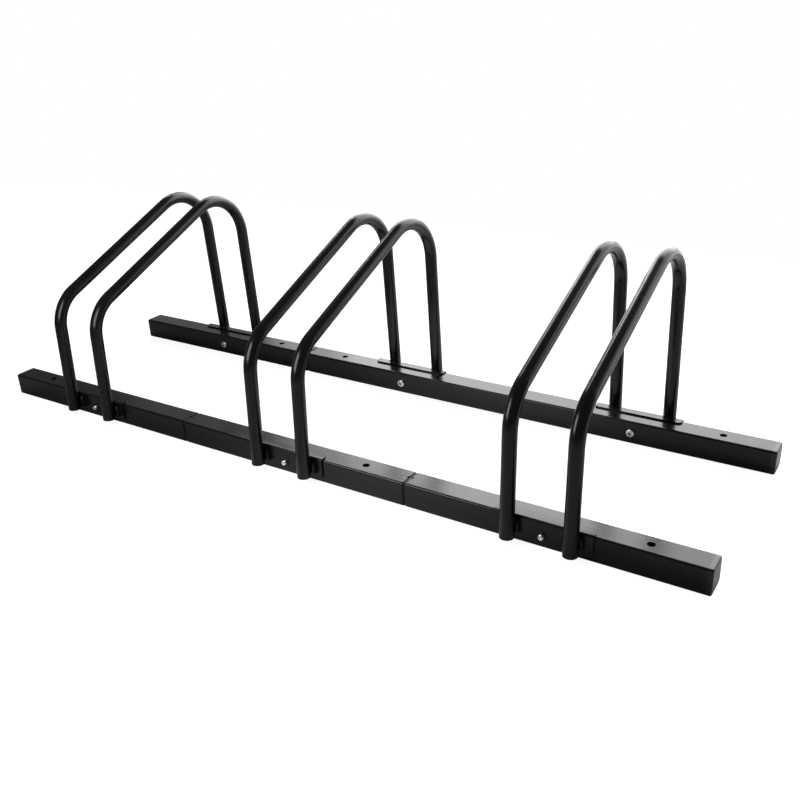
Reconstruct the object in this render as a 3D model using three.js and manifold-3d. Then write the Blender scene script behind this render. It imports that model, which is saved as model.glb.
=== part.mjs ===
// Floor rack for three bicycles: two square-tube rails on the floor, joined by three pairs of bent
// round-tube hoops. A wheel stands in the slot between the two hoops of a pair.
// Millimetres. +X runs along the rails, +Y from the front rail to the rear rail, +Z up, floor at Z = 0.

import * as THREE from 'three';
import { mergeVertices } from 'three/addons/utils/BufferGeometryUtils.js';
import Module from 'manifold-3d';

const wasm = await Module();
wasm.setup();

// ---------------------------------------------------------------- driving dimensions

const BAYS = ['left', 'middle', 'right'];    // one wheel slot and one length of each rail to a bay
const CLEARANCE = 0.3;                       // between a piece and what it is fitted to

const RAIL_LENGTH = 330;                     // one length of square tube
const RAIL_SIDE = 30;                        // section, outside
const RAIL_WALL = 1.5;
const RAIL_CORNER = 2.5;                     // outside corner radius
const RACK_DEPTH = 289;                      // front face of the front rail to rear face of the rear rail

const ANCHOR_HOLE = 8.5;                     // floor anchor hole through the top and bottom walls
const ANCHOR_FROM_END = 58;
const NOTCH_RADIUS = 2.2;                    // half-round notches in the tube's ends, top and bottom

const COLLAR_WIDTH = 3.2;                    // the connector's collar, seen between two rail lengths
const COLLAR_GAP = 0.8;                      // one of the two lengths stops this far short of the collar
const COLLAR_INSET = 0.4;                    // the collar lies this far below the rail's faces
const KEY_INSET = 1.2;                       // and the connector's keys this far
const CONNECTOR_REACH = 34;                  // of its plugs into the rail lengths
const CAP_HEAD = 6;                          // the end cap's head, beyond the tube
const CAP_ROUND = 1.4;                       // rounded rim of the head
const CAP_REACH = 16;                        // of its plug into the tube
const PLUG_WALL = 2;
const PLUG_LEAD = 2;                         // length of the tapered lead-in
const RIB_HEIGHT = 0.8;                      // grip ribs along the plugs, one to a side
const RIB_WIDTH = 5;

const TUBE = 16;                             // hoop tube, outside diameter
const TUBE_WALL = 1.5;
const SLOT_PITCH = 70;                       // between the two hoops of a pair, centre to centre
const FOOT_RISE = 8.5;                       // the hoop's open ends stop this far above the floor
const KNEE_HEIGHT = 158.5;                   // where the lines of the front leg and the slope meet
const SLOPE_ANGLE = 22.5;                    // degrees above level
const FRONT_LEAN = 2.6;                      // degrees off upright, towards the middle of the rack
const REAR_LEAN = 2.7;
const KNEE_BEND = 50;                        // centreline bend radii
const TOP_BEND = 60;

const PLATE_LENGTH = 110;                    // the angle bracket: a plate with a lip over the rail
const PLATE_THICKNESS = 2;
const PLATE_DROP = 27;                       // height of the plate, lip included
const LIP_DEPTH = 12.6;                      // depth of the lip, plate included
const PLATE_CORNER = 5;                      // rounded free corners of the plate and the lip
const FOLD_RADIUS = 2.6;                     // outside of the fold
const WELD_LENGTH = 17;                      // each bead runs down the plate beside a leg
const WELD_RADIUS = 2.8;

const SCREW = 6;                             // shank diameter
const SCREW_LENGTH = 36;                     // under the head
const SCREW_POINT = 0.8;                     // chamfer at the end
const HEAD_WIDTH = 10.5;                     // pan head
const HEAD_HEIGHT = 4;
const RECESS_WIDTH = 5.6;                    // cross recess in the head
const RECESS_SLOT = 1.3;
const RECESS_DEPTH = 2;
const INSERT_BARREL = 8.8;                   // threaded insert, riveted into the plate
const INSERT_LENGTH = 12;                    // behind its flange
const INSERT_FLANGE = 10.4;
const FLANGE_THICKNESS = 0.9;
const INSERT_BULGE = 11.4;                   // set behind the plate, inside the rail's locating hole
const BULGE_THICKNESS = 2.2;

// ---------------------------------------------------------------- sizes that follow from them

const BAY_PITCH = RAIL_LENGTH + COLLAR_WIDTH + COLLAR_GAP;
const BORE = RAIL_SIDE - 2 * RAIL_WALL;
const RIBBED = BORE - 2 * CLEARANCE;         // across a plug's ribs, and across its flats
const PLUG = RIBBED - 2 * RIB_HEIGHT;
const PLUG_BORE = PLUG - 2 * PLUG_WALL;
const PLATE_TOP = RAIL_SIDE + PLATE_THICKNESS;
const PLATE_BOTTOM = PLATE_TOP - PLATE_DROP;
const LEG_OFFSET = PLATE_THICKNESS + CLEARANCE + TUBE / 2;

// How far a line that leans this many degrees off upright moves sideways per unit of height.
function run(degrees) {
  return Math.tan(THREE.MathUtils.degToRad(degrees));
}

// ---------------------------------------------------------------- finishes

const POWDER_COAT = { color: 0x1c1c1d, roughness: 0.42, metalness: 0.0 };
const PLASTIC = { color: 0x151516, roughness: 0.5, metalness: 0.0 };
const ZINC = { color: 0xc4c6c8, roughness: 0.3, metalness: 1.0 };
const BLACK_ZINC = { color: 0x202022, roughness: 0.38, metalness: 0.8 };

// ---------------------------------------------------------------- solids and their joins and cuts

// Turns a closed geometry into a solid, leaving out the flat triangles at a lathe's poles.
function toSolid(geometry) {
  const bare = geometry.clone();
  bare.deleteAttribute('normal');
  bare.deleteAttribute('uv');
  const merged = mergeVertices(bare, 1e-4);
  const corners = merged.index.array;
  const kept = [];
  for (let i = 0; i < corners.length; i += 3) {
    const [a, b, c] = corners.slice(i, i + 3);
    if (a !== b && b !== c && c !== a) kept.push(a, b, c);
  }
  const vertProperties = new Float32Array(merged.getAttribute('position').array);
  return new wasm.Manifold(new wasm.Mesh({ numProp: 3, vertProperties, triVerts: new Uint32Array(kept) }));
}

function toGeometry(solid) {
  const { vertProperties, triVerts } = solid.getMesh();
  const geometry = new THREE.BufferGeometry();
  geometry.setAttribute('position', new THREE.BufferAttribute(vertProperties, 3));
  geometry.setIndex(new THREE.BufferAttribute(triVerts, 1));
  geometry.computeVertexNormals();
  return geometry;
}

function block(sizeX, sizeY, sizeZ, x, y, z) {
  const geometry = new THREE.BoxGeometry(sizeX, sizeY, sizeZ);
  geometry.translate(x, y, z);
  return toSolid(geometry);
}

// A round bar for holes, keys and cuts. It lies along Y, or is tilted about X by so many radians first.
const UPRIGHT = Math.PI / 2;

function bar(diameter, length, tilt, x, y, z, sides = 12) {
  const geometry = new THREE.CylinderGeometry(diameter / 2, diameter / 2, length, sides);
  geometry.rotateX(tilt);
  geometry.translate(x, y, z);
  return toSolid(geometry);
}

// A square with round corners, extruded along X from startX on. A bevel rounds or tapers both ends.
function squareBar(side, corner, startX, length, { fineness = 2, bevel = 0, inset = bevel, steps = 1 } = {}) {
  const reach = side / 2;
  const centre = reach - corner;
  const shape = new THREE.Shape();
  shape.moveTo(centre, -reach);
  for (let turn = 0; turn < 4; turn += 1) {
    const from = (turn - 1) * Math.PI / 2;
    const x = turn < 2 ? centre : -centre;
    const y = turn % 3 === 0 ? -centre : centre;
    shape.absarc(x, y, corner, from, from + Math.PI / 2);
  }
  shape.closePath();
  const geometry = new THREE.ExtrudeGeometry(shape, {
    depth: length - 2 * bevel,
    curveSegments: fineness,
    bevelEnabled: bevel > 0,
    bevelThickness: bevel,
    bevelSize: inset,
    bevelOffset: -inset,
    bevelSegments: steps,
  });
  geometry.rotateX(Math.PI / 2);
  geometry.rotateZ(Math.PI / 2);
  geometry.translate(startX + bevel, 0, 0);
  return toSolid(geometry);
}

// A solid of revolution about Y. The profile gives [radius, y] pairs up its outside; one that doesn't start
// on the axis comes back to its first point.
function turned(profile, sides) {
  const points = profile.map(([radius, y]) => new THREE.Vector2(radius, y));
  if (points[0].x > 0) points.push(points[0].clone());
  return toSolid(new THREE.LatheGeometry(points, sides));
}

// ---------------------------------------------------------------- rail tubes and what plugs into them

// One length of rail, about its own middle, with its outer face towards -Y. A screw hole crosses it at half
// length, wide in the outer wall to locate the insert. There is an anchor hole near its +X end.
function railTube() {
  const through = RAIL_SIDE + 2;
  const start = -RAIL_LENGTH / 2;
  let tube = squareBar(RAIL_SIDE, RAIL_CORNER, start, RAIL_LENGTH);
  tube = tube.subtract(squareBar(BORE, RAIL_CORNER - RAIL_WALL, start - 1, RAIL_LENGTH + 2, { fineness: 1 }));
  tube = tube.subtract(bar(ANCHOR_HOLE, through, UPRIGHT, RAIL_LENGTH / 2 - ANCHOR_FROM_END, 0, 0));
  tube = tube.subtract(bar(SCREW + 2 * CLEARANCE, RAIL_SIDE / 2, 0, 0, RAIL_SIDE / 2, 0));
  tube = tube.subtract(bar(INSERT_BULGE + 2 * CLEARANCE, RAIL_SIDE / 2, 0, 0, -RAIL_SIDE / 2, 0));
  for (const end of [-1, 1]) {
    tube = tube.subtract(bar(2 * NOTCH_RADIUS, through, UPRIGHT, end * RAIL_LENGTH / 2, 0, 0));
  }
  return tube;
}

// A solid plug for a rail's bore, ribbed along all four sides, with a tapered lead-in at both ends.
function ribbedPlug(startX, length) {
  const middle = startX + length / 2;
  let plug = block(length, PLUG, PLUG, middle, 0, 0);
  plug = plug.add(block(length, RIBBED, RIB_WIDTH, middle, 0, 0));
  plug = plug.add(block(length, RIB_WIDTH, RIBBED, middle, 0, 0));
  const taper = { fineness: 1, bevel: PLUG_LEAD, inset: 1.5 * RIB_HEIGHT };
  const leadIn = squareBar(RIBBED, RAIL_CORNER, startX, length, taper);
  return plug.intersect(leadIn);
}

// Round keys above and below a plug at one place, to seat in the notches of the tube's end.
function addKeys(solid, x, inset) {
  const width = 2 * (NOTCH_RADIUS - CLEARANCE);
  const top = RAIL_SIDE / 2 - inset;
  const height = top - PLUG / 2 + CLEARANCE;
  const upper = bar(width, height, UPRIGHT, x, 0, top - height / 2, 8);
  const lower = bar(width, height, UPRIGHT, x, 0, height / 2 - top, 8);
  return solid.add(upper).add(lower);
}

// The hidden connector of two rail lengths: a hollow plug either way from its collar.
function connector() {
  const half = COLLAR_WIDTH / 2;
  const reach = half + CONNECTOR_REACH;
  let solid = ribbedPlug(-reach, 2 * reach);
  solid = solid.add(squareBar(RAIL_SIDE - 2 * COLLAR_INSET, RAIL_CORNER, -half, COLLAR_WIDTH));
  solid = addKeys(addKeys(solid, -half, KEY_INSET), half, KEY_INSET);
  return solid.subtract(block(2 * reach + 2, PLUG_BORE, PLUG_BORE, 0, 0, 0));
}

// The end cap, for the +X end of a rail: a hollow plug under a head with a rounded rim.
function endCap() {
  let head = squareBar(RAIL_SIDE, RAIL_CORNER, -CAP_HEAD, 2 * CAP_HEAD, { bevel: CAP_ROUND, steps: 2 });
  head = head.subtract(block(2 * CAP_HEAD, 2 * RAIL_SIDE, 2 * RAIL_SIDE, -CAP_HEAD, 0, 0));
  const solid = addKeys(head.add(ribbedPlug(-CAP_REACH, CAP_REACH + CAP_HEAD / 2)), 0, 0);
  const hollow = CAP_REACH + CAP_HEAD - PLUG_WALL;
  return solid.subtract(block(2 * hollow, PLUG_BORE, PLUG_BORE, -CAP_REACH, 0, 0));
}

// ---------------------------------------------------------------- hoops

// A hoop's centreline: straight stretches joined by arcs. The curve's parameter counts stretches in steps,
// one to a straight and several to an arc, so that an even walk along it spends its steps on the bends.
class HoopLine extends THREE.Curve {
  constructor(corners, radii, arcSteps) {
    super();
    this.stretches = [];
    this.steps = 0;
    let from = corners[0];
    radii.forEach((radius, index) => {
      const [before, corner, after] = corners.slice(index, index + 3);
      const back = before.clone().sub(corner).normalize();
      const ahead = after.clone().sub(corner).normalize();
      const half = back.angleTo(ahead) / 2;
      const start = corner.clone().addScaledVector(back, radius / Math.tan(half));
      const inward = back.clone().add(ahead).normalize();
      const centre = corner.clone().addScaledVector(inward, radius / Math.sin(half));
      const spoke = start.clone().sub(centre);
      const axis = ahead.clone().cross(back).normalize();
      const arc = (part) => spoke.clone().applyAxisAngle(axis, part * (Math.PI - 2 * half)).add(centre);
      this.addStraight(from, start);
      this.addStretch(arcSteps[index], arc);
      from = arc(1);
    });
    this.addStraight(from, corners.at(-1));
  }

  addStraight(from, to) {
    this.addStretch(1, (part) => from.clone().lerp(to, part));
  }

  addStretch(steps, at) {
    this.stretches.push({ start: this.steps, steps, at });
    this.steps += steps;
  }

  getPoint(parameter) {
    const place = parameter * this.steps;
    const stretch = this.stretches.findLast(({ start }) => start <= place);
    return stretch.at((place - stretch.start) / stretch.steps);
  }

  getUtoTmapping(parameter) {
    return parameter;
  }
}

// Corner points of the centreline. Each leg clears the top of its bracket's plate and leans in from there;
// the slope rises from the knee to meet the line of the rear leg.
function hoopCorners() {
  const frontY = (z) => -RACK_DEPTH / 2 - LEG_OFFSET + (z - PLATE_TOP) * run(FRONT_LEAN);
  const rearY = (z) => RACK_DEPTH / 2 + LEG_OFFSET - (z - PLATE_TOP) * run(REAR_LEAN);
  const kneeY = frontY(KNEE_HEIGHT);
  const rise = (rearY(KNEE_HEIGHT) - kneeY) * run(SLOPE_ANGLE) / (1 + run(REAR_LEAN) * run(SLOPE_ANGLE));
  const topZ = KNEE_HEIGHT + rise;
  return [
    new THREE.Vector3(0, frontY(FOOT_RISE), FOOT_RISE),
    new THREE.Vector3(0, kneeY, KNEE_HEIGHT),
    new THREE.Vector3(0, rearY(topZ), topZ),
    new THREE.Vector3(0, rearY(FOOT_RISE), FOOT_RISE),
  ];
}

function circle(radius, sides) {
  const curve = new THREE.EllipseCurve(0, 0, radius, radius);
  return curve.getPoints(sides).slice(1);
}

// The bent tube, open at both ends.
function hoop() {
  const line = new HoopLine(hoopCorners(), [KNEE_BEND, TOP_BEND], [6, 9]);
  const section = new THREE.Shape(circle(TUBE / 2, 14));
  section.holes.push(new THREE.Path(circle(TUBE / 2 - TUBE_WALL, 8)));
  return toSolid(new THREE.ExtrudeGeometry(section, { extrudePath: line, steps: line.steps }));
}

// ---------------------------------------------------------------- brackets

// A bracket's outline from its long near edge, at the fold, to its free edge with rounded corners.
function bracketOutline(near, free) {
  const half = PLATE_LENGTH / 2;
  const shape = new THREE.Shape();
  shape.moveTo(-half, near);
  shape.lineTo(half, near);
  shape.absarc(half - PLATE_CORNER, free - PLATE_CORNER, PLATE_CORNER, 0, Math.PI / 2);
  shape.absarc(PLATE_CORNER - half, free - PLATE_CORNER, PLATE_CORNER, Math.PI / 2, Math.PI);
  shape.closePath();
  return shape;
}

// The folded angle about the middle of its bay. The rail's outer face is at Y = 0 and its top at RAIL_SIDE;
// the plate lies against the one and the lip on the other, with a bead down each side of both legs.
function bracket(lean) {
  const thick = { depth: PLATE_THICKNESS, bevelEnabled: false, curveSegments: 2 };
  const lip = new THREE.ExtrudeGeometry(bracketOutline(0, LIP_DEPTH), thick);
  lip.translate(0, -PLATE_THICKNESS, RAIL_SIDE);
  const plate = new THREE.ExtrudeGeometry(bracketOutline(0, PLATE_DROP), thick);
  plate.rotateX(-Math.PI / 2);
  plate.translate(0, -PLATE_THICKNESS, PLATE_TOP);
  let solid = toSolid(lip).add(toSolid(plate)).subtract(foldRounding());
  const holeY = -PLATE_THICKNESS / 2;
  const holeZ = RAIL_SIDE / 2;
  solid = solid.subtract(bar(INSERT_BARREL + 2 * CLEARANCE, 2 * PLATE_THICKNESS, 0, 0, holeY, holeZ));
  for (const x of [-SLOT_PITCH / 2, SLOT_PITCH / 2]) solid = solid.add(weldBeads(x, lean));
  return solid;
}

// What the fold takes off the square outer edge of the angle.
function foldRounding() {
  const y = FOLD_RADIUS - PLATE_THICKNESS;
  const z = PLATE_TOP - FOLD_RADIUS;
  const reach = FOLD_RADIUS + 1;
  const edge = block(PLATE_LENGTH + 2, reach, reach, 0, y - reach / 2, z + reach / 2);
  const fold = new THREE.CylinderGeometry(FOLD_RADIUS, FOLD_RADIUS, PLATE_LENGTH + 4, 16);
  fold.rotateZ(Math.PI / 2);
  fold.translate(0, y, z);
  return edge.subtract(toSolid(fold));
}

// The two beads beside one leg, each in the corner between plate and tube and trimmed to clear the tube.
function weldBeads(x, lean) {
  const level = (PLATE_TOP - FOLD_RADIUS + PLATE_BOTTOM) / 2;
  const sideways = TUBE / 2 - WELD_RADIUS / 2;
  const tilt = UPRIGHT - THREE.MathUtils.degToRad(lean);
  const leg = bar(TUBE + 2 * CLEARANCE, 4 * PLATE_TOP, tilt, x, -LEG_OFFSET, PLATE_TOP, 24);
  const behindPlate = block(4 * TUBE, TUBE, 2 * PLATE_TOP, x, (TUBE - PLATE_THICKNESS) / 2, level);
  const beads = [-sideways, sideways].map((offset) => {
    const bead = new THREE.SphereGeometry(1, 8, 6);
    bead.rotateX(UPRIGHT);
    bead.scale(WELD_RADIUS, WELD_RADIUS, WELD_LENGTH / 2);
    bead.translate(x + offset, -PLATE_THICKNESS, level);
    return toSolid(bead);
  });
  return beads[0].add(beads[1]).subtract(behindPlate).subtract(leg);
}

// ---------------------------------------------------------------- screws and inserts

// The pan-head screw, seated at Y = 0 with its head towards +Y. Its far end is slightly hollow.
function screw() {
  const edge = HEAD_WIDTH / 2;
  let solid = turned([
    [0, SCREW_POINT / 2 - SCREW_LENGTH],
    [SCREW / 2 - SCREW_POINT, -SCREW_LENGTH],
    [SCREW / 2, SCREW_POINT - SCREW_LENGTH],
    [SCREW / 2, 0],
    [edge, 0],
    [edge, HEAD_HEIGHT * 0.4],
    [edge * 0.9, HEAD_HEIGHT * 0.7],
    [edge * 0.6, HEAD_HEIGHT * 0.94],
    [0, HEAD_HEIGHT],
  ], 12);
  solid = solid.subtract(block(RECESS_WIDTH, 2 * RECESS_DEPTH, RECESS_SLOT, 0, HEAD_HEIGHT, 0));
  return solid.subtract(block(RECESS_SLOT, 2 * RECESS_DEPTH, RECESS_WIDTH, 0, HEAD_HEIGHT, 0));
}

// The threaded insert: its flange on the plate's outer face, at Y = 0, and its barrel towards +Y.
function insert() {
  const bore = SCREW / 2 + CLEARANCE;
  const barrel = INSERT_BARREL / 2;
  const bulge = PLATE_THICKNESS + CLEARANCE;
  return turned([
    [bore, -FLANGE_THICKNESS],
    [INSERT_FLANGE / 2 - FLANGE_THICKNESS / 2, -FLANGE_THICKNESS],
    [INSERT_FLANGE / 2, 0],
    [barrel, 0],
    [barrel, bulge],
    [INSERT_BULGE / 2, bulge + BULGE_THICKNESS / 2],
    [barrel, bulge + BULGE_THICKNESS],
    [barrel, INSERT_LENGTH],
    [bore, INSERT_LENGTH],
  ], 12);
}

// ---------------------------------------------------------------- assembly

const rack = new THREE.Group();

function place(parent, name, geometry, finish, x, y, z) {
  const mesh = new THREE.Mesh(geometry, new THREE.MeshStandardMaterial(finish));
  mesh.name = name;
  mesh.position.set(x, y, z);
  parent.add(mesh);
  return mesh;
}

const tubeShape = toGeometry(railTube());
const connectorShape = toGeometry(connector());
const capShape = toGeometry(endCap());
const hoopShape = toGeometry(hoop());
const screwShape = toGeometry(screw());
const insertShape = toGeometry(insert());

// A rail with its brackets, screws, inserts, connectors and caps, as the front row. The rear row is the same
// row turned to face the other way. A tube turned over end for end has its anchor hole at its other end.
function addRow(name, bays, lean, anchorEnds) {
  const row = new THREE.Group();
  const axis = RAIL_SIDE / 2;
  const bracketShape = toGeometry(bracket(lean));
  const lastBay = bays.length - 1;
  bays.forEach((bay, index) => {
    const x = (index - lastBay / 2) * BAY_PITCH;
    const tube = place(row, `${name}_rail_${bay}`, tubeShape, POWDER_COAT, x, axis, axis);
    if (anchorEnds[index] === 'left') tube.rotation.y = Math.PI;
    place(row, `${name}_bracket_${bay}`, bracketShape, POWDER_COAT, x, 0, 0);
    place(row, `${name}_screw_${bay}`, screwShape, ZINC, x, RAIL_SIDE, axis);
    place(row, `${name}_rivet_nut_${bay}`, insertShape, BLACK_ZINC, x, -PLATE_THICKNESS, axis);
    if (index > 0) {
      const seam = x - (RAIL_LENGTH + COLLAR_WIDTH) / 2;
      const joined = `${bays[index - 1]}_to_${bay}`;
      place(row, `${name}_connector_${joined}`, connectorShape, PLASTIC, seam, axis, axis);
    }
  });
  const end = (lastBay * BAY_PITCH + RAIL_LENGTH) / 2;
  place(row, `${name}_end_cap_${bays[lastBay]}`, capShape, PLASTIC, end, axis, axis);
  const farCap = place(row, `${name}_end_cap_${bays[0]}`, capShape, PLASTIC, -end, axis, axis);
  farCap.rotation.y = Math.PI;
  rack.add(row);
  return row;
}

const frontRow = addRow('front', BAYS, FRONT_LEAN, ['left', 'right', 'right']);
frontRow.position.y = -RACK_DEPTH / 2;
const rearRow = addRow('rear', BAYS.toReversed(), REAR_LEAN, ['left', 'right', 'left']);
rearRow.position.y = RACK_DEPTH / 2;
rearRow.rotation.z = Math.PI;

BAYS.forEach((bay, index) => {
  const x = (index - (BAYS.length - 1) / 2) * BAY_PITCH;
  place(rack, `hoop_${bay}_bay_left`, hoopShape, POWDER_COAT, x - SLOT_PITCH / 2, 0, 0);
  place(rack, `hoop_${bay}_bay_right`, hoopShape, POWDER_COAT, x + SLOT_PITCH / 2, 0, 0);
});

// The rear legs stand out a little further than the front ones, so the rack is moved to centre its outline.
const outline = new THREE.Box3().setFromObject(rack);
rack.position.y = -(outline.min.y + outline.max.y) / 2;

const root = new THREE.Group();
root.add(rack);

export default root;
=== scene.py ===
"""Looks for a floor rack that holds three bicycles: black powder-coated square rails, bent-tube hoops,
angle brackets, plastic end caps and zinc-plated screws, on a pale studio floor. Sizes are written in
millimetres and turned into metres by MM."""

import math

import bpy
import numpy as np
from mathutils import Matrix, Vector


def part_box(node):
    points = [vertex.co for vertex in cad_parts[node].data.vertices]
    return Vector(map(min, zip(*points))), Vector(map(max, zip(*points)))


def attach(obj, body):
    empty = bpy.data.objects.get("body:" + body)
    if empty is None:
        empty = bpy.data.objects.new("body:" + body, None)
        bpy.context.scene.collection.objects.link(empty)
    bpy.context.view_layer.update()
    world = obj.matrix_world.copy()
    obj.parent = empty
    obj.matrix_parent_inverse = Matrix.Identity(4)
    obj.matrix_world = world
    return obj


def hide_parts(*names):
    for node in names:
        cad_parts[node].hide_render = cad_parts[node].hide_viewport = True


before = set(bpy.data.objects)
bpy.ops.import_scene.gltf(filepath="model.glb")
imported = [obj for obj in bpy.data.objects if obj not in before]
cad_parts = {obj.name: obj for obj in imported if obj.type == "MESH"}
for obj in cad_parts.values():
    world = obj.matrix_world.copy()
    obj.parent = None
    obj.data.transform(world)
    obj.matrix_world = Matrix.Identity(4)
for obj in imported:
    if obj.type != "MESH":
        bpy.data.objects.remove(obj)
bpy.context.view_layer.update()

# ---------------------------------------------------------------------------------------------- rails
# Each rail is three lengths of 30 mm square steel tube with rounded corners, powder coated in semi-gloss
# black. Every length has one anchor hole, through its top and bottom, and half-round notches in the ends
# that meet another length, where the keys of the plastic connectors seat.

MM = 0.001
RAIL_SIDE = 30 * MM
RAIL_WALL = 1.5 * MM
RAIL_CORNER = 2.5 * MM
ANCHOR_RADIUS = 4.25 * MM
ANCHOR_FROM_END = 58 * MM
NOTCH_RADIUS = 2.2 * MM
SAWN_EDGE = 0.08 * MM
CORNER_CELLS = 6
FLAT_CELLS = 22
ANCHOR_CELLS = 4
NOTCH_CELLS = 2
FINE_STEPS = 8
ANCHOR_AT = {
    "front_rail_left": -1,
    "front_rail_middle": 1,
    "front_rail_right": 1,
    "rear_rail_left": 1,
    "rear_rail_middle": -1,
    "rear_rail_right": 1,
}


def powder_texture():
    """The surface of a sprayed and baked powder coat, as a node group. Bump height is fine orange peel plus a
    broader flow of the coat; Shade and Gloss drift slowly over the piece, with a few pale specks of dust."""
    group = bpy.data.node_groups.new("powder_texture", "ShaderNodeTree")
    for name, low in (("Peel size", 900.0), ("Dust", 0.3)):
        socket = group.interface.new_socket(name, in_out="INPUT", socket_type="NodeSocketFloat")
        socket.default_value = low
    for name in ("Height", "Shade", "Gloss", "Specks"):
        group.interface.new_socket(name, in_out="OUTPUT", socket_type="NodeSocketFloat")
    nodes, links = group.nodes, group.links
    inputs = nodes.new("NodeGroupInput")
    outputs = nodes.new("NodeGroupOutput")
    place = nodes.new("ShaderNodeTexCoord").outputs["Object"]

    def noise(scale, detail, rough=0.5):
        node = nodes.new("ShaderNodeTexNoise")
        node.inputs["Detail"].default_value = detail
        node.inputs["Roughness"].default_value = rough
        links.new(place, node.inputs["Vector"])
        if isinstance(scale, float):
            node.inputs["Scale"].default_value = scale
        else:
            links.new(scale, node.inputs["Scale"])
        return node.outputs["Fac"]

    def spread(value, low, high, new_low, new_high):
        node = nodes.new("ShaderNodeMapRange")
        for socket, number in zip(node.inputs[1:5], (low, high, new_low, new_high)):
            socket.default_value = number
        links.new(value, node.inputs[0])
        return node.outputs[0]

    def maths(kind, first, second):
        node = nodes.new("ShaderNodeMath")
        node.operation = kind
        for socket, value in zip(node.inputs, (first, second)):
            if isinstance(value, float):
                socket.default_value = value
            else:
                links.new(value, socket)
        return node.outputs[0]

    peel = noise(inputs.outputs["Peel size"], 2.0)
    flow = noise(160.0, 2.0)
    links.new(maths("ADD", peel, maths("MULTIPLY", flow, 1.6)), outputs.inputs["Height"])
    links.new(spread(noise(14.0, 4.0), 0.35, 0.65, 0.75, 1.3), outputs.inputs["Shade"])
    links.new(spread(noise(30.0, 5.0, 0.6), 0.3, 0.7, -0.025, 0.030), outputs.inputs["Gloss"])
    grains = nodes.new("ShaderNodeTexVoronoi")
    grains.inputs["Scale"].default_value = 420.0
    links.new(place, grains.inputs["Vector"])
    dots = spread(grains.outputs["Distance"], 0.05, 0.14, 1.0, 0.0)
    rare = spread(noise(90.0, 1.0), 0.60, 0.68, 0.0, 1.0)
    specks = maths("MULTIPLY", dots, rare)
    links.new(maths("MULTIPLY", specks, inputs.outputs["Dust"]), outputs.inputs["Specks"])
    return group


def new_material(name):
    """A new material with its nodes, its links and its surface shader."""
    material = bpy.data.materials.new(name)
    material.use_nodes = True
    tree = material.node_tree
    return material, tree.nodes, tree.links, tree.nodes["Principled BSDF"]


def coated_material(name, texture, colour, speck, roughness, peel, dust, bump):
    """A painted or moulded surface: its colour is shaded and specked by the texture group, its roughness
    drifts by the group's gloss, and its normal follows the group's height."""
    material, nodes, links, shader = new_material(name)
    effect = nodes.new("ShaderNodeGroup")
    effect.node_tree = texture
    effect.inputs["Peel size"].default_value = peel
    effect.inputs["Dust"].default_value = dust
    shade = nodes.new("ShaderNodeVectorMath")
    shade.operation = "SCALE"
    shade.inputs[0].default_value = colour
    links.new(effect.outputs["Shade"], shade.inputs["Scale"])
    mix = nodes.new("ShaderNodeMix")
    mix.data_type = "RGBA"
    links.new(effect.outputs["Specks"], mix.inputs["Factor"])
    links.new(shade.outputs[0], mix.inputs["A"])
    mix.inputs["B"].default_value = (*speck, 1.0)
    links.new(mix.outputs["Result"], shader.inputs["Base Color"])
    gloss = nodes.new("ShaderNodeMath")
    gloss.inputs[1].default_value = roughness
    links.new(effect.outputs["Gloss"], gloss.inputs[0])
    links.new(gloss.outputs[0], shader.inputs["Roughness"])
    relief = nodes.new("ShaderNodeBump")
    relief.inputs["Strength"].default_value = bump
    relief.inputs["Distance"].default_value = 0.12 * MM
    links.new(effect.outputs["Height"], relief.inputs["Height"])
    links.new(relief.outputs["Normal"], shader.inputs["Normal"])
    return material, shader


powder = powder_texture()
powder_coat, powder_shader = coated_material(
    "black_powder_coat", powder, colour=(0.0045, 0.0045, 0.0047), speck=(0.12, 0.12, 0.12),
    roughness=0.20, peel=900.0, dust=0.10, bump=0.30,
)
powder_shader.inputs["IOR"].default_value = 1.4


def square_profile(half, corner, flat_cells, corner_cells):
    """Points round a square with round corners, from +Y towards +Z: each side is even steps between the
    corner centres, and each corner a quarter circle about its centre."""
    flat = half - corner
    along = np.linspace(-flat, flat, flat_cells + 1)
    turn = np.linspace(0, math.pi / 2, corner_cells + 1)[1:-1]
    side = np.column_stack([np.full(along.size, half), along])
    bend = np.column_stack([flat + corner * np.cos(turn), flat + corner * np.sin(turn)])
    quarter = np.vstack([side, bend])
    spins = [np.array([[1, 0], [0, 1]]), np.array([[0, -1], [1, 0]])]
    spins += [-spin for spin in spins]
    return np.vstack([quarter @ spin.T for spin in spins])


def add_piece(name, points, faces, material, slot, *nodes, sharp=40, bevel=0.0):
    """Puts arrays of points and faces into a mesh piece that rides on the rack. It is shaded smooth except
    across edges sharper than `sharp` degrees, and those get a small round of radius `bevel`."""
    mesh = bpy.data.meshes.new(name)
    mesh.from_pydata(points.reshape(-1, 3).tolist(), [], [f for part in faces for f in part.tolist()])
    mesh.update()
    mesh.polygons.foreach_set("use_smooth", np.ones(len(mesh.polygons), bool))
    mesh.set_sharp_from_angle(angle=math.radians(sharp))
    piece = bpy.data.objects.new(name, mesh)
    bpy.context.scene.collection.objects.link(piece)
    mesh.materials.append(material)
    if bevel:
        rounding = piece.modifiers.new("edge_round", "BEVEL")
        rounding.width = bevel
        rounding.segments = 2
        rounding.limit_method = "ANGLE"
        rounding.angle_limit = math.radians(50)
        rounding.harden_normals = True
    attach(piece, "root")
    if nodes:
        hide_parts(*nodes)
    return piece


def grid_quads(rows, columns, closed=False):
    """Corner numbers of the quads of a rows x columns grid of points, joined round if closed."""
    i, j = np.meshgrid(np.arange(rows - 1), np.arange(columns if closed else columns - 1), indexing="ij")
    k = (j + 1) % columns
    this_row, next_row = i * columns, (i + 1) * columns
    return np.stack([this_row + j, this_row + k, next_row + k, next_row + j], -1).reshape(-1, 4)


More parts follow.
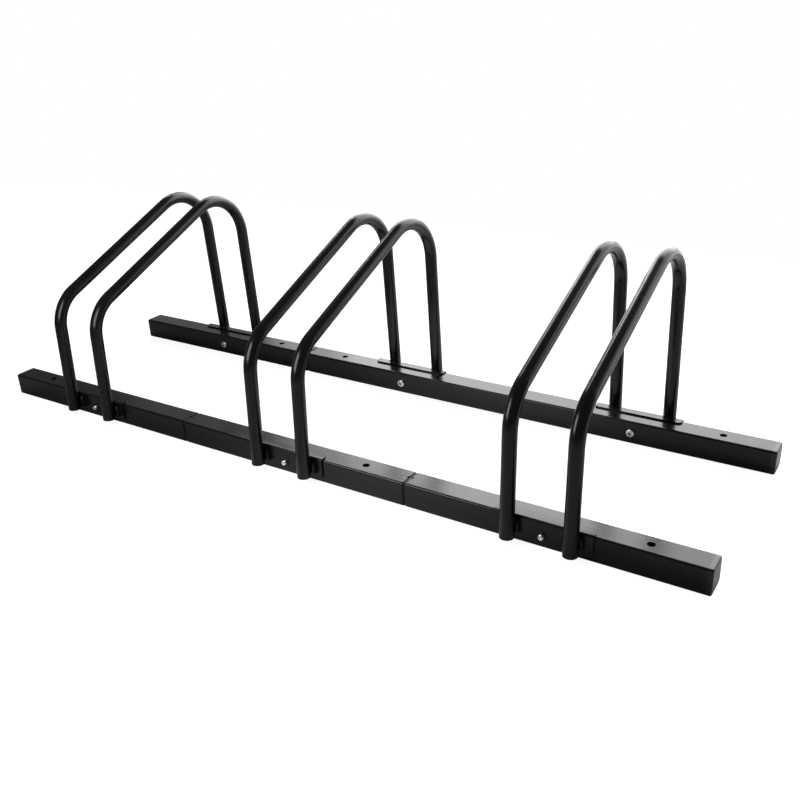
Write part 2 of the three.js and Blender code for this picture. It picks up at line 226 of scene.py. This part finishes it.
def bend_round_hole(x, y, inside, centre, radius, cells, step):
    """Moves grid points near a hole: at `cells` steps from its centre, counted along the square grid, they go
    onto the circle; three steps further out they stay; between the two they go part of the way."""
    dx, dy = x - centre, y
    ring = np.maximum(np.abs(dx), np.abs(dy)) / step
    pull = np.clip((cells + 3 - ring) / 3, 0, 1) * inside
    reach = np.hypot(dx, dy)
    reach[reach == 0] = 1
    return x + pull * (radius * dx / reach - dx), y + pull * (radius * dy / reach - dy)


def rail_piece(name, anchor_at):
    """A grid of stations along X, close together at the ends and the anchor hole, by points round the
    profile, for the outside and again, one wall in, for the inside. Cells in the holes and notches are left
    out, and walls join the two grids round every opening."""
    low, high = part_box(name)
    step = (RAIL_SIDE - 2 * RAIL_CORNER) / FLAT_CELLS
    anchor = (high.x - ANCHOR_FROM_END) if anchor_at > 0 else (low.x + ANCHOR_FROM_END)
    near = np.arange(FINE_STEPS) * step
    beside_anchor = anchor + np.arange(-FINE_STEPS, FINE_STEPS + 1) * step
    x = np.concatenate([low.x + near, beside_anchor, high.x - near[::-1]])
    x = np.unique(np.round(x, 7))
    outer = square_profile(RAIL_SIDE / 2, RAIL_CORNER, FLAT_CELLS, CORNER_CELLS)
    inner = square_profile(RAIL_SIDE / 2 - RAIL_WALL, RAIL_CORNER - RAIL_WALL, FLAT_CELLS, CORNER_CELLS)
    around = len(outer)
    flat_face = np.abs(outer[:, 1]) > RAIL_SIDE / 2 - 1e-6
    openings = [(anchor, ANCHOR_RADIUS, ANCHOR_CELLS)]
    if not name.endswith("left"):
        openings.append((low.x, NOTCH_RADIUS, NOTCH_CELLS))
    if not name.endswith("right"):
        openings.append((high.x, NOTCH_RADIUS, NOTCH_CELLS))
    sheets = []
    for profile in (outer, inner):
        px = np.repeat(x[:, None], around, 1)
        py = np.repeat(profile[None, :, 0], len(x), 0)
        pz = np.repeat(profile[None, :, 1], len(x), 0)
        for centre, radius, cells in openings:
            px, py = bend_round_hole(px, py, flat_face[None, :], centre, radius, cells, step)
        sheets.append(np.stack([px, py + (low.y + high.y) / 2, pz + RAIL_SIDE / 2], -1))
    middle = (x[:-1] + x[1:]) / 2
    across = (outer[:, 0] + np.roll(outer[:, 0], -1)) / 2
    on_flat = flat_face & np.roll(flat_face, -1)
    kept = np.ones((len(x) - 1, around), bool)
    for centre, radius, cells in openings:
        in_x = np.abs(middle - centre) < cells * step
        in_y = (np.abs(across) < cells * step) & on_flat
        kept &= ~(in_x[:, None] & in_y[None, :])
    i, j = np.nonzero(kept)
    k = (j + 1) % around
    corner = np.stack([i * around + j, i * around + k, (i + 1) * around + k, (i + 1) * around + j], -1)
    inside = len(x) * around
    faces = [corner, corner[:, ::-1] + inside]
    padded = np.pad(kept, ((1, 1), (0, 0)))
    beside = (padded[:-2], np.roll(kept, -1, 1), padded[2:], np.roll(kept, 1, 1))
    for side, other in enumerate(beside):
        edge = corner[~other[i, j]]
        a, b = edge[:, side], edge[:, (side + 1) % 4]
        faces.append(np.stack([b, a, a + inside, b + inside], -1))
    points = np.concatenate([s.reshape(-1, 3) for s in sheets])
    used = np.zeros(len(points), bool)
    used[np.concatenate([f.ravel() for f in faces])] = True
    renumber = np.cumsum(used) - 1
    faces = [renumber[f] for f in faces]
    add_piece(name + "_look", points[used], faces, powder_coat, "powder_coat", name, bevel=SAWN_EDGE)


for rail_name, anchor_side in ANCHOR_AT.items():
    rail_piece(rail_name, anchor_side)

# ---------------------------------------------------------------------------- connectors and end caps
# The lengths are joined by ribbed plugs of dull black plastic, of which only the thin collar shows at each
# joint. The outer ends of the rails are closed by push-in caps of satin black plastic: a cap is a square head,
# flush with the tube, whose rim is rounded over.

CAP_HEAD = 6 * MM
CAP_ROUND = 1.8 * MM
CAP_FLAT_CELLS = 6

black_plastic, plastic_shader = coated_material(
    "black_moulded_plastic", powder, colour=(0.0035, 0.0035, 0.0037), speck=(0.10, 0.10, 0.10),
    roughness=0.22, peel=1500.0, dust=0.06, bump=0.08,
)
plastic_shader.inputs["IOR"].default_value = 1.5
dull_plastic, dull_shader = coated_material(
    "dull_black_plastic", powder, colour=(0.0055, 0.0055, 0.0057), speck=(0.05, 0.05, 0.05),
    roughness=0.50, peel=1500.0, dust=0.06, bump=0.30,
)
dull_shader.inputs["IOR"].default_value = 1.3
for node_name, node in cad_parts.items():
    if "_connector_" in node_name:
        node.material_slots[0].material = dull_plastic


def cap_piece(name, rail):
    """Rings of the rounded-square profile from the tube's end outwards: straight, then drawn in along a
    quarter circle for the rim, with rounder corners as they go, and then shrunk to a point over the end."""
    low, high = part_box(rail)
    side = 1 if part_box(name)[1].x > high.x else -1
    start = high.x if side > 0 else low.x
    turn = np.linspace(0, math.pi / 2, 9)
    out = np.concatenate([[0, CAP_HEAD - CAP_ROUND], CAP_HEAD - CAP_ROUND + CAP_ROUND * np.sin(turn[1:])])
    inset = np.concatenate([[0, 0], CAP_ROUND * (1 - np.cos(turn[1:]))])
    rings = []
    for reach, drawn_in in zip(out, inset):
        corner = RAIL_CORNER + 0.8 * drawn_in
        ring = square_profile(RAIL_SIDE / 2 - drawn_in, corner, CAP_FLAT_CELLS, CORNER_CELLS)
        rings.append(np.column_stack([np.full(len(ring), reach), ring]))
    rim = rings[-1]
    for share in (0.8, 0.55, 0.3, 0.1):
        rings.append(rim * (1, share, share))
    points = np.array(rings)
    around = points.shape[1]
    ends = np.array([[points[-1, 0, 0], 0, 0], [0, 0, 0]])
    every = np.concatenate([points.reshape(-1, 3), ends])
    every[:, 0] = start + side * every[:, 0]
    every[:, 1] += (low.y + high.y) / 2
    every[:, 2] += RAIL_SIDE / 2
    j = np.arange(around)
    k = (j + 1) % around
    last = (len(points) - 1) * around
    body = grid_quads(len(points), around, closed=True)
    front = np.stack([last + j, last + k, np.full(around, len(every) - 2)], -1)
    rear = np.stack([k, j, np.full(around, len(every) - 1)], -1)
    faces = [body, front, rear]
    if side < 0:
        faces = [f[:, ::-1] for f in faces]
    add_piece(name + "_look", every, faces, black_plastic, "black_plastic", name, sharp=50)


for row in ("front", "rear"):
    for end in ("left", "right"):
        cap_piece(f"{row}_end_cap_{end}", f"{row}_rail_{end}")

# --------------------------------------------------------------------------------------------- brackets
# Under each pair of hoops an angle of 2 mm steel plate hooks over each rail: a plate against the rail's outer
# face and a lip on its top, folded with a small radius, with the free corners rounded. It is coated with the
# hoops that are welded to it.

PLATE_THICKNESS = 2 * MM
PLATE_LENGTH = 110 * MM
PLATE_TOP = 32 * MM
PLATE_BOTTOM = 5 * MM
LIP_DEPTH = 12.6 * MM
PLATE_CORNER = 5 * MM
FOLD_RADIUS = 2.6 * MM
PLATE_EDGE = 0.3 * MM
BAYS = ("left", "middle", "right")

front_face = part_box("front_rail_middle")[0].y
rear_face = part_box("rear_rail_middle")[1].y
ROWS = {"front": (front_face, 1), "rear": (rear_face, -1)}


def bay_middle(bay):
    """The middle of a rail length along X, where its pair of hoops stands."""
    low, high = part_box(f"front_rail_{bay}")
    return (low.x + high.x) / 2


def bracket_piece(name, row, x_middle):
    """A bent sheet: its outside runs up the plate, round the fold and along the lip, and its inside is the
    same line one thickness in. Towards each end both free edges draw back along a quarter circle."""
    face, inward = ROWS[row]
    turn = np.linspace(0, math.pi / 2, 7)
    inner_radius = FOLD_RADIUS - PLATE_THICKNESS
    arc_centre = (inner_radius, PLATE_TOP - FOLD_RADIUS)
    arc = np.column_stack([-np.cos(turn), np.sin(turn)])
    lip_edge = LIP_DEPTH - PLATE_THICKNESS
    outside = np.vstack([[-PLATE_THICKNESS, PLATE_BOTTOM],
                         arc_centre + FOLD_RADIUS * arc,
                         [lip_edge, PLATE_TOP]])
    inside = np.vstack([[0, PLATE_BOTTOM],
                        arc_centre + inner_radius * arc,
                        [lip_edge, PLATE_TOP - PLATE_THICKNESS]])
    angle = np.linspace(0, math.pi / 2, 9)
    from_end = PLATE_CORNER * (1 - np.cos(angle))
    drawn_back = PLATE_CORNER * (1 - np.sin(angle))
    x = np.concatenate([from_end - PLATE_LENGTH / 2, PLATE_LENGTH / 2 - from_end[::-1]])
    back = np.concatenate([drawn_back, drawn_back[::-1]])
    sheets = []
    for line in (outside, inside):
        y = np.repeat(line[None, :, 0], len(x), 0)
        z = np.repeat(line[None, :, 1], len(x), 0)
        z[:, 0] += back
        y[:, -1] -= back
        px = np.repeat(x[:, None], line.shape[0], 1) + x_middle
        sheets.append(np.stack([px, face + inward * y, z], -1))
    count = outside.shape[0]
    size = len(x) * count
    outer = grid_quads(len(x), count)
    faces = [outer[:, ::-1], outer + size]
    i = np.arange(len(x) - 1) * count
    j = np.arange(count - 1)
    faces.append(np.stack([i, i + count, i + count + size, i + size], -1))
    free = i + count - 1
    faces.append(np.stack([free + size, free + count + size, free + count, free], -1))
    faces.append(np.stack([j, j + size, j + 1 + size, j + 1], -1))
    end = j + (len(x) - 1) * count
    faces.append(np.stack([end + 1, end + 1 + size, end + size, end], -1))
    if inward < 0:
        faces = [f[:, ::-1] for f in faces]
    points = np.concatenate([s.reshape(-1, 3) for s in sheets])
    add_piece(name + "_look", points, faces, powder_coat, "powder_coat", name, bevel=PLATE_EDGE)


for row in ROWS:
    for bay in BAYS:
        bracket_piece(f"{row}_bracket_{bay}", row, bay_middle(bay))

# ------------------------------------------------------------------------------------------------ hoops
# Each hoop is one length of 16 mm round steel tube, bent twice: an upright front leg, a knee, a long straight
# slope, a top bend of about 110 degrees and a rear leg that leans in a little. The ends are open and stop
# just above the floor.

TUBE_RADIUS = 8 * MM
TUBE_WALL = 1.5 * MM
SLOT_PITCH = 70 * MM
FOOT_RISE = 8.5 * MM
KNEE_HEIGHT = 158.5 * MM
SLOPE = math.tan(math.radians(22.5))
FRONT_LEAN = math.tan(math.radians(2.6))
REAR_LEAN = math.tan(math.radians(2.7))
KNEE_BEND = 50 * MM
TOP_BEND = 60 * MM
TUBE_EDGE = 0.25 * MM
WELD_GAP = 0.3 * MM
LEG_OFFSET = PLATE_THICKNESS + WELD_GAP + TUBE_RADIUS
BEND_STEPS = 32
RING_POINTS = 40


def front_leg(z):
    """The front leg's centreline in Y at height z: it leans in from the bracket's top up."""
    return front_face - LEG_OFFSET + (z - PLATE_TOP) * FRONT_LEAN


def rear_leg(z):
    """The rear leg's centreline in Y at height z, leaning in the same way."""
    return rear_face + LEG_OFFSET - (z - PLATE_TOP) * REAR_LEAN


def hoop_line():
    """The centreline in Y and Z with its direction: straight pieces between corner points, and at each corner
    an arc that touches both straights."""
    rise = (rear_leg(KNEE_HEIGHT) - front_leg(KNEE_HEIGHT)) * SLOPE / (1 + REAR_LEAN * SLOPE)
    top = KNEE_HEIGHT + rise
    corners = np.array([
        [front_leg(FOOT_RISE), FOOT_RISE],
        [front_leg(KNEE_HEIGHT), KNEE_HEIGHT],
        [rear_leg(top), top],
        [rear_leg(FOOT_RISE), FOOT_RISE],
    ])
    places, ways = [corners[0]], [(corners[1] - corners[0]) / np.linalg.norm(corners[1] - corners[0])]
    for number, radius in ((1, KNEE_BEND), (2, TOP_BEND)):
        before = corners[number] - corners[number - 1]
        after = corners[number + 1] - corners[number]
        before, after = before / np.linalg.norm(before), after / np.linalg.norm(after)
        bend = math.acos(before @ after)
        start = corners[number] - before * radius * math.tan(bend / 2)
        towards = np.array([before[1], -before[0]])
        centre = start + radius * towards
        angles = np.linspace(0, bend, BEND_STEPS + 1)
        places.extend(centre + radius * (before * math.sin(a) - towards * math.cos(a)) for a in angles)
        ways.extend(before * math.cos(a) + towards * math.sin(a) for a in angles)
    places.append(corners[3])
    ways.append(ways[-1])
    return np.array(places), np.array(ways)


def hoop_piece(name, x):
    """A ring carried along the centreline: each ring lies across the tube, with as many points inside as
    outside, and the two walls meet round both open ends."""
    places, ways = hoop_line()
    turn = np.linspace(0, 2 * math.pi, RING_POINTS, endpoint=False)
    across = np.stack([-ways[:, 1], ways[:, 0]], -1)
    sheets = []
    for radius in (TUBE_RADIUS, TUBE_RADIUS - TUBE_WALL):
        px = x + radius * np.repeat(np.cos(turn)[None, :], len(places), 0)
        yz = places[:, None, :] + radius * np.sin(turn)[None, :, None] * across[:, None, :]
        sheets.append(np.concatenate([px[..., None], yz], -1))
    rows, around = len(places), len(turn)
    size = rows * around
    outer = grid_quads(rows, around, closed=True)
    j = np.arange(around)
    k = (j + 1) % around
    foot = np.stack([k, j, j + size, k + size], -1)
    last = (rows - 1) * around
    heel = np.stack([j + last, k + last, k + last + size, j + last + size], -1)
    faces = [outer, outer[:, ::-1] + size, foot, heel]
    points = np.concatenate([s.reshape(-1, 3) for s in sheets])
    add_piece(name + "_look", points, faces, powder_coat, "powder_coat", name, bevel=TUBE_EDGE)


for bay in BAYS:
    for side, offset in (("left", -SLOT_PITCH / 2), ("right", SLOT_PITCH / 2)):
        hoop_piece(f"hoop_{bay}_bay_{side}", bay_middle(bay) + offset)

# ------------------------------------------------------------------------------------------------ welds
# A bead runs down the bracket's plate on each side of every leg. It was laid in short pushes, so it has
# fine ripples, and it is coated with the rest.

WELD_RADIUS = 2.9 * MM
WELD_LENGTH = 17 * MM
WELD_RIPPLES = 9


def weld_piece(name, row, x):
    """A long rounded blob: its radius follows a flat-topped curve along the height, with a small cosine
    ripple that bows at the middle of the bead, and swells a little more at one end from bead to bead."""
    face, inward = ROWS[row]
    level = (PLATE_TOP - FOLD_RADIUS + PLATE_BOTTOM) / 2
    rows, around = 61, 24
    t = np.linspace(-1, 1, rows)[:, None]
    turn = np.linspace(0, 2 * math.pi, around, endpoint=False)[None, :]
    swell = np.clip(1 - np.abs(t) ** 3, 0, 1) ** 0.5
    ripple = 1 + 0.05 * np.cos(math.pi * WELD_RIPPLES * (t + 0.04 * np.cos(turn)))
    unevenness = 1 + 0.06 * math.sin(900 * x) * np.sin(3 * t)
    radius = WELD_RADIUS * swell * ripple * unevenness
    px = x + radius * np.sin(turn)
    py = face - inward * (PLATE_THICKNESS + 0.75 * radius * np.cos(turn))
    pz = level + t * WELD_LENGTH / 2 + 0 * turn
    points = np.stack([px, py, pz], -1)
    faces = grid_quads(rows, around, closed=True)
    if inward > 0:
        faces = faces[:, ::-1]
    add_piece(name, points, [faces], powder_coat, "powder_coat", sharp=180)


for row in ROWS:
    for bay in BAYS:
        for number, leg in enumerate((-SLOT_PITCH / 2, SLOT_PITCH / 2)):
            for part, offset in (("a", -1), ("b", 1)):
                place = bay_middle(bay) + leg + offset * (TUBE_RADIUS - WELD_RADIUS / 2)
                weld_piece(f"{row}_weld_{bay}_{number}{part}", row, place)

# ------------------------------------------------------------------------------ rivet nuts and screws
# A black zinc-plated rivet nut is set in the middle of each bracket's plate. A bright zinc-plated M6 pan-head
# screw with a cross recess goes in from the rail's inner face and comes out through the nut.

SCREW_RADIUS = 3 * MM
SCREW_LENGTH = 36 * MM
SCREW_LEVEL = RAIL_SIDE / 2
THREAD_PITCH = 1 * MM
THREAD_DEPTH = 0.5 * MM
HEAD_RADIUS = 5.25 * MM
HEAD_HEIGHT = 4 * MM
RECESS_HALF = 2.8 * MM
RECESS_SLOT = 0.75 * MM
RECESS_DEPTH = 2 * MM
BRIGHT_RINGS = 8


def metal_material(name, colour, tarnish, roughness):
    """Zinc plate: the colour drifts between bright and slightly dulled, in patches with fine pitting."""
    material, nodes, links, shader = new_material(name)
    place = nodes.new("ShaderNodeTexCoord").outputs["Object"]
    patches = nodes.new("ShaderNodeTexNoise")
    patches.inputs["Scale"].default_value = 600.0
    patches.inputs["Detail"].default_value = 4.0
    links.new(place, patches.inputs["Vector"])
    mix = nodes.new("ShaderNodeMix")
    mix.data_type = "RGBA"
    mix.inputs["A"].default_value = (*colour, 1.0)
    mix.inputs["B"].default_value = (*tarnish, 1.0)
    links.new(patches.outputs["Fac"], mix.inputs["Factor"])
    links.new(mix.outputs["Result"], shader.inputs["Base Color"])
    spread = nodes.new("ShaderNodeMapRange")
    spread.inputs["To Min"].default_value = roughness - 0.06
    spread.inputs["To Max"].default_value = roughness + 0.10
    links.new(patches.outputs["Fac"], spread.inputs["Value"])
    links.new(spread.outputs["Result"], shader.inputs["Roughness"])
    shader.inputs["Metallic"].default_value = 1.0
    relief = nodes.new("ShaderNodeBump")
    relief.inputs["Strength"].default_value = 0.2
    relief.inputs["Distance"].default_value = 0.05 * MM
    links.new(patches.outputs["Fac"], relief.inputs["Height"])
    links.new(relief.outputs["Normal"], shader.inputs["Normal"])
    return material


zinc = metal_material("bright_zinc", (0.95, 0.96, 0.97), (0.78, 0.79, 0.81), 0.26)
# Painted shade: a darker copy of the zinc for the screw's thread and cross recess, where shade falls.
painted_shade_zinc = metal_material("painted_shade_thread_zinc", (0.20, 0.20, 0.205), (0.09, 0.09, 0.092), 0.36)
black_zinc = metal_material("black_zinc", (0.05, 0.05, 0.052), (0.02, 0.02, 0.021), 0.40)


def turned_piece(name, radius, y, x, seat, outward, material, slot, node):
    """A surface turned about the screw's line along Y: radius and y are grids over the profile and the angle,
    which end on the axis or come back to where they started."""
    around = radius.shape[1]
    turn = np.linspace(0, 2 * math.pi, around, endpoint=False)[None, :]
    points = np.stack([x + radius * np.cos(turn), seat + outward * y, SCREW_LEVEL + radius * np.sin(turn)], -1)
    faces = grid_quads(radius.shape[0], around, closed=True)
    if outward < 0:
        faces = faces[:, ::-1]
    return add_piece(name, points, [faces], material, slot, node, sharp=38)


def cross_recess(along, across):
    """How far each place on the head is pressed in, 0 to 1: two bars at right angles, with steep sides, given
    the distances from the axis along the one bar and across it."""

    def bar(length_way, width_way):
        end = np.clip((RECESS_HALF - length_way) / (0.4 * MM), 0, 1)
        side = np.clip((RECESS_SLOT - width_way) / (0.25 * MM) + 0.5, 0, 1)
        return end * side

    return np.maximum(bar(along, across), bar(across, along))


def screw_piece(name, row, x):
    """From the hollow end up the threaded shank to the head: the thread is a triangle wave that climbs one
    pitch a turn and fades out below the head, which is domed. The thread past its first turns and the
    recess take a darker zinc, as painted shade."""
    face, inward = ROWS[row]
    seat = face + inward * RAIL_SIDE
    around = 48
    every_way = np.ones((1, around))
    turn = np.linspace(0, 2 * math.pi, around, endpoint=False)[None, :]
    shank = np.linspace(0.6 * MM, SCREW_LENGTH, 240)[:, None]
    wave = np.abs(((shank / THREAD_PITCH - turn / (2 * math.pi)) % 1) - 0.5) * 2
    thread = SCREW_RADIUS - THREAD_DEPTH * wave * np.clip((SCREW_LENGTH - shank) / (3 * MM), 0, 1)
    end_r = np.array([1e-6, 0.7, 1.1, 1.45, 1.8, 2.6, 2.95])[:, None] * MM * every_way
    end_y = np.array([0.6, 0.6, 0.5, 0.15, 0.0, 0.0, 0.3])[:, None] * MM * every_way
    rise = np.linspace(0, 1, 14)[:, None]
    head_r = HEAD_RADIUS * np.vstack([[[1.0]], np.cos(rise * math.pi / 2 * 0.62)]) * every_way
    head_y = np.vstack([[[0.0]], HEAD_HEIGHT * (0.35 + 0.45 * np.sin(rise * math.pi / 2))]) * every_way
    crown = np.linspace(1, 0, 40)[1:, None]
    crown_r = np.maximum(head_r[-1, 0] * crown, 1e-6) * every_way
    dome = HEAD_HEIGHT * (0.8 + 0.2 * np.sqrt(1 - (crown_r / head_r[-1, 0]) ** 2))
    pressed = cross_recess(np.abs(crown_r * np.cos(turn)), np.abs(crown_r * np.sin(turn)))
    crown_y = dome - RECESS_DEPTH * pressed
    radius = np.vstack([end_r, thread, head_r, crown_r])
    y = np.vstack([end_y - SCREW_LENGTH, shank * every_way - SCREW_LENGTH, head_y, crown_y])
    piece = turned_piece(name + "_look", radius, y, x, seat, inward, zinc, "zinc", name)
    piece.data.materials.append(painted_shade_zinc)
    # Painted shade: faces on the thread past its first turns and in the cross recess take the darker zinc.
    painted_shade = np.zeros(radius.shape, bool)
    painted_shade[len(end_r) + BRIGHT_RINGS:len(end_r) + len(shank)] = True
    painted_shade[-len(crown):] = pressed > 0.4
    painted_shade &= np.roll(painted_shade, -1, 1)
    piece.data.polygons.foreach_set("material_index", (painted_shade[:-1] & painted_shade[1:]).ravel().astype(np.int32))


def nut_piece(name, row, x):
    """A flange with a softly rounded rim and a barrel behind it with a bulge where it was squeezed, all round
    the same bore: a closed profile of radius and depth."""
    face, inward = ROWS[row]
    seat = face - inward * PLATE_THICKNESS
    bore, flange, barrel, bulge, depth = 3.3, 5.2, 4.4, 5.7, 12
    profile = np.array([
        [bore, depth], [bore, -0.9], [4.5, -0.95], [4.95, -0.75], [flange, -0.35], [flange, 0.0],
        [barrel, 0.0], [barrel, 2.3], [bulge, 3.4], [barrel, 4.5], [barrel, depth], [bore, depth],
    ]) * MM
    every_way = np.ones((1, RING_POINTS))
    radius, y = profile[::-1, :1] * every_way, profile[::-1, 1:] * every_way
    turned_piece(name + "_look", radius, y, x, seat, inward, black_zinc, "black_zinc", name)


for row in ROWS:
    for bay in BAYS:
        screw_piece(f"{row}_screw_{bay}", row, bay_middle(bay))
        nut_piece(f"{row}_rivet_nut_{bay}", row, bay_middle(bay))

# ------------------------------------------------------------------------------------- floor and lights
# The rack stands on a white studio floor in a white surround. A broad wall of soft panels stands behind it,
# brightest in the middle and weak beyond the left bay, and puts the grey sheen on the top faces. A small
# soft light in front picks out the bends, and a high one at the left the crests of the hoops.

POOL_CENTRE_X = 0.11
POOL_HALF_LENGTH = 0.34
POOL_HALF_DEPTH = 0.8
FLOOR_GLOW = 0.9
SURROUND_ON_RACK = 0.13

floor_mesh = bpy.data.meshes.new("studio_floor")
floor_mesh.from_pydata([(-4, -3, 0), (4, -3, 0), (4, 1, 0), (-4, 1, 0)], [], [(0, 1, 2, 3)])
floor = bpy.data.objects.new("studio_floor", floor_mesh)
bpy.context.scene.collection.objects.link(floor)
floor.location.z = -0.0003

floor_material, floor_nodes, floor_links, floor_shader = new_material("studio_white")
floor_shader.inputs["Roughness"].default_value = 0.9
floor_shader.inputs["Specular IOR Level"].default_value = 0.0
floor_shader.inputs["Emission Color"].default_value = (1.0, 1.0, 1.0, 1.0)

# Painted shade: the floor's colour is lighter towards the right and darker towards the left, standing in for
# light that falls off there, as the coated faces mirror it.
floor_place = floor_nodes.new("ShaderNodeTexCoord").outputs["Object"]
along = floor_nodes.new("ShaderNodeSeparateXYZ")
floor_links.new(floor_place, along.inputs["Vector"])
painted_floor_falloff = floor_nodes.new("ShaderNodeMapRange")
for socket, number in zip(painted_floor_falloff.inputs[1:5], (-0.1, 0.5, 0.33, 0.62)):
    socket.default_value = number
floor_links.new(along.outputs["X"], painted_floor_falloff.inputs["Value"])
floor_links.new(painted_floor_falloff.outputs["Result"], floor_shader.inputs["Base Color"])

# A painted pool of light in the middle of the floor, which the coated faces mirror: the floor glows there for
# mirroring rays only, though no lamp is there. It ends just before the rack.
pool = floor_nodes.new("ShaderNodeMapping")
pool.inputs["Location"].default_value = (-POOL_CENTRE_X / POOL_HALF_LENGTH, 0.0, 0.0)
pool.inputs["Scale"].default_value = (1 / POOL_HALF_LENGTH, 1 / POOL_HALF_DEPTH, 1.0)
floor_links.new(floor_place, pool.inputs["Vector"])
reach = floor_nodes.new("ShaderNodeVectorMath")
reach.operation = "LENGTH"
floor_links.new(pool.outputs["Vector"], reach.inputs[0])
fade = floor_nodes.new("ShaderNodeMapRange")
fade.interpolation_type = "SMOOTHSTEP"
for socket, number in zip(fade.inputs[1:5], (0.0, 1.0, 0.55, 0.0)):
    socket.default_value = number
floor_links.new(reach.outputs["Value"], fade.inputs["Value"])
edge = floor_nodes.new("ShaderNodeMapRange")
for socket, number in zip(edge.inputs[1:5], (-0.26, -0.18, 0.0, 1.0)):
    socket.default_value = number
floor_links.new(along.outputs["Y"], edge.inputs["Value"])
cut = floor_nodes.new("ShaderNodeMath")
cut.operation = "MULTIPLY"
floor_links.new(fade.outputs["Result"], cut.inputs[0])
floor_links.new(edge.outputs["Result"], cut.inputs[1])

# Seen straight on the floor glows white all over, and in a mirroring face only where the painted pool of light
# is.
seen = floor_nodes.new("ShaderNodeLightPath")
mirrored = floor_nodes.new("ShaderNodeMath")
mirrored.operation = "MULTIPLY"
floor_links.new(seen.outputs["Is Glossy Ray"], mirrored.inputs[0])
floor_links.new(cut.outputs[0], mirrored.inputs[1])
strength = floor_nodes.new("ShaderNodeMath")
strength.operation = "MULTIPLY_ADD"
strength.inputs[1].default_value = FLOOR_GLOW
floor_links.new(seen.outputs["Is Camera Ray"], strength.inputs[0])
floor_links.new(mirrored.outputs[0], strength.inputs[2])
floor_links.new(strength.outputs[0], floor_shader.inputs["Emission Strength"])
floor_mesh.materials.append(floor_material)

# The surround is white where it is seen, and lights the rack only a little.
world = bpy.data.worlds.new("studio")
bpy.context.scene.world = world
world.use_nodes = True
world_nodes, world_links = world.node_tree.nodes, world.node_tree.links
surround = world_nodes["Background"]
path = world_nodes.new("ShaderNodeLightPath")
level = world_nodes.new("ShaderNodeMapRange")
level.inputs["To Min"].default_value = SURROUND_ON_RACK
level.inputs["To Max"].default_value = 1.0
world_links.new(path.outputs["Is Camera Ray"], level.inputs["Value"])
world_links.new(level.outputs["Result"], surround.inputs["Strength"])
surround.inputs["Color"].default_value = (1.0, 1.0, 1.0, 1.0)


def soft_light(name, place, target, width, height, watts):
    """A rectangular lamp at a place, facing a target, with its width level."""
    light = bpy.data.lights.new(name, "AREA")
    light.shape = "RECTANGLE"
    light.size = width
    light.size_y = height
    light.energy = watts
    lamp = bpy.data.objects.new(name, light)
    bpy.context.scene.collection.objects.link(lamp)
    away = np.subtract(place, target)
    away = away / np.linalg.norm(away)
    across = np.cross((0, 0, 1), away)
    across = across / np.linalg.norm(across)
    turned = np.stack([across, np.cross(away, across), away], 1)
    lamp.matrix_world = Matrix([(*row, at) for row, at in zip(turned, place)] + [(0, 0, 0, 1)])
    lamp.visible_camera = False


soft_light("back_panel", (-0.11, 1.0, 0.83), (-0.11, 0.0, 0.83), 1.82, 1.62, 18.5)
soft_light("back_panel_core", (-0.03, 0.99, 0.90), (-0.03, 0.0, 0.90), 1.46, 1.10, 12.5)
soft_light("back_panel_centre", (-0.20, 0.98, 0.90), (-0.20, 0.0, 0.90), 0.60, 0.60, 1.3)
soft_light("back_panel_right", (1.35, 1.0, 0.83), (1.35, 0.0, 0.83), 1.10, 1.62, 12)
soft_light("back_panel_left", (-1.34, 1.0, 0.46), (-1.34, 0.0, 0.46), 0.64, 0.88, 0.5)
soft_light("high_left_softbox", (-1.95, 1.70, 2.25), (0.3, 0.0, 0.2), 0.9, 0.5, 12)
soft_light("front_softbox", (-0.16, -0.56, 0.40), (0.0, -0.1, 0.14), 0.36, 0.36, 2.4)

# -------------------------------------------------------------------------------------------- the camera
# The camera stands in front of the rack's right end and looks down over it to the left, turned by a yaw, a
# downward pitch and a slight roll in radians. The lens is in millimetres for a 36 mm wide frame.

CAMERA_PLACE = (0.653876, -0.878311, 0.541411)
CAMERA_YAW = 0.585062
CAMERA_PITCH = 0.435424
CAMERA_ROLL = -0.047384
FRAME_WIDTH = 36
CAMERA_LENS = 919.204 / 800 * FRAME_WIDTH

camera_data = bpy.data.cameras.new("camera")
camera_data.lens = CAMERA_LENS
camera_data.sensor_width = FRAME_WIDTH
camera = bpy.data.objects.new("camera", camera_data)
bpy.context.scene.collection.objects.link(camera)
camera.matrix_world = (
    Matrix.Translation(CAMERA_PLACE)
    @ Matrix.Rotation(CAMERA_YAW, 4, "Z")
    @ Matrix.Rotation(math.pi / 2 - CAMERA_PITCH, 4, "X")
    @ Matrix.Rotation(CAMERA_ROLL, 4, "Z")
)
bpy.context.scene.camera = camera
bpy.context.scene.view_settings.view_transform = "Standard"

bpy.context.view_layer.update()
